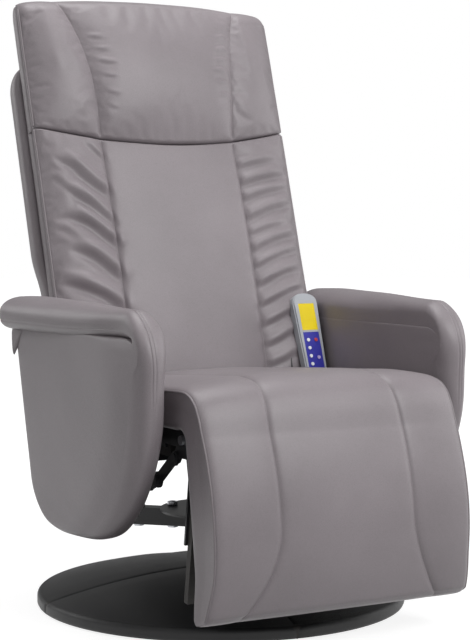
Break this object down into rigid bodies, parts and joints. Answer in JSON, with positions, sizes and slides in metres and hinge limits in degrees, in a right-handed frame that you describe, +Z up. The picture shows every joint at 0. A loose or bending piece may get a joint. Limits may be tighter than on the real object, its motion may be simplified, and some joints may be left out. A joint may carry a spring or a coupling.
{
  "type": "massage recliner",
  "caption": "Swivel massage recliner on a padded disc base: the back leans while links lift the footrest; padded arms, corded keypad handset at the side of the seat",
  "frame": {"origin": "on the floor, on the swivel axis, under the middle of the round base", "axes": "+Z up, the chair faces -Y at rest, +X is the picture's right and the sitter's left"},
  "size_m": [0.6916, 0.7419, 1.0584],
  "materials": {
    "taupe_leather": "soft semi-gloss grain",
    "black_leather": "soft satin grain",
    "black_steel": "satin powder coat",
    "plated_steel": "zinc plated",
    "plywood": "raw plywood",
    "woven_strap": "woven elastic",
    "polyfoam": "open-cell foam",
    "dust_cloth": "non-woven cloth",
    "black_rubber": "matt rubber",
    "black_plastic": "fine matt texture",
    "grey_plastic": "smooth semi-gloss",
    "blue_panel": "printed film",
    "yellow_panel": "printed film",
    "red_key": "smooth",
    "lilac_key": "smooth",
    "white_key": "smooth"
  },
  "bodies": {
    "base": {"floor_pad": "black_rubber", "base_board": "plywood", "base_foam": "polyfoam", "base_cover": "black_leather", "post_collar": "black_rubber", "base_post": "black_steel", "post_bush": "black_plastic", "lower_race": "plated_steel", "bearing_balls": "plated_steel"},
    "chassis": {"upper_race": "plated_steel", "swivel_hub": "black_steel", "spider_arms": "black_steel", "spider_plate": "black_steel", "spider_bolts": "plated_steel", "pedestal_tubes": "black_steel", "cross_rails": "black_steel", "seat_rails": "plywood", "side_plates": "black_steel", "webbing": "woven_strap", "seat_pad": "taupe_leather", "knee_pad": "taupe_leather", "dust_cover": "dust_cloth", "control_box": "black_plastic", "control_box_lid": "black_plastic", "seat_motor_cases": "black_plastic", "pivot_bolts": "plated_steel", "arm_fixings": "black_steel", "arm_boards": "plywood", "arm_panel_left": "taupe_leather", "arm_panel_right": "taupe_leather", "arm_pad_left": "taupe_leather", "arm_pad_right": "taupe_leather", "handset_holder": "black_plastic", "cord_clip": "black_plastic", "inner_cord": "black_rubber", "handset_cord": "black_rubber", "strain_relief": "black_rubber", "handset_back": "grey_plastic", "handset_front": "grey_plastic", "handset_keypad": "blue_panel", "handset_display": "yellow_panel"},
    "back": {"back_brackets": "black_steel", "back_frame": "plywood", "back_straps": "woven_strap", "back_motor_cases": "black_plastic", "lumbar_pad": "taupe_leather", "headrest_pad": "taupe_leather", "back_shell": "taupe_leather"},
    "footrest": {"footrest_brackets": "black_steel", "footrest_board": "plywood", "footrest_pad": "taupe_leather"},
    "link_left": {"drive_link_left": "black_steel"},
    "link_right": {"drive_link_right": "black_steel"},
    "key_power": {"button_power": "red_key"},
    "key_heat": {"button_heat": "lilac_key"},
    "key_1": {"button_1": "white_key"},
    "key_2": {"button_2": "white_key"},
    "key_3": {"button_3": "white_key"},
    "key_4": {"button_4": "white_key"}
  },
  "joints": [
    {"name": "swivel", "type": "hinge", "parent": "base", "child": "chassis", "pos_m": [0, 0, 0.12], "axis": [0, 0, 1], "continuous": true},
    {"name": "recline", "type": "hinge", "parent": "chassis", "child": "back", "pos_m": [0, 0.14, 0.324], "axis": [-1, 0, 0], "range_deg": [0, 35]},
    {"name": "footrest_lift", "type": "hinge", "parent": "chassis", "child": "footrest", "pos_m": [0, -0.266, 0.324], "axis": [-1, 0, 0], "range_deg": [0, 70], "deforming": ["knee_pad"]},
    {"name": "link_left_turn", "type": "hinge", "parent": "back", "child": "link_left", "pos_m": [0, 0.16007, 0.26033], "axis": [-1, 0, 0], "range_deg": [-35, 0]},
    {"name": "link_right_turn", "type": "hinge", "parent": "back", "child": "link_right", "pos_m": [0, 0.16007, 0.26033], "axis": [-1, 0, 0], "range_deg": [-35, 0]},
    {"name": "button_power_press", "type": "slide", "parent": "chassis", "child": "key_power", "axis": [0, 0.9455, -0.3256], "range_m": [0, 0.0008], "stiffness_N_per_m": 250},
    {"name": "button_heat_press", "type": "slide", "parent": "chassis", "child": "key_heat", "axis": [0, 0.9455, -0.3256], "range_m": [0, 0.0008], "stiffness_N_per_m": 250},
    {"name": "button_1_press", "type": "slide", "parent": "chassis", "child": "key_1", "axis": [0, 0.9455, -0.3256], "range_m": [0, 0.0008], "stiffness_N_per_m": 250},
    {"name": "button_2_press", "type": "slide", "parent": "chassis", "child": "key_2", "axis": [0, 0.9455, -0.3256], "range_m": [0, 0.0008], "stiffness_N_per_m": 250},
    {"name": "button_3_press", "type": "slide", "parent": "chassis", "child": "key_3", "axis": [0, 0.9455, -0.3256], "range_m": [0, 0.0008], "stiffness_N_per_m": 250},
    {"name": "button_4_press", "type": "slide", "parent": "chassis", "child": "key_4", "axis": [0, 0.9455, -0.3256], "range_m": [0, 0.0008], "stiffness_N_per_m": 250}
  ],
  "couplings": [
    {"joint": "footrest_lift", "follows": "recline", "ratio": 2},
    {"joint": "link_left_turn", "follows": "recline", "ratio": -1},
    {"joint": "link_right_turn", "follows": "recline", "ratio": -1}
  ]
}
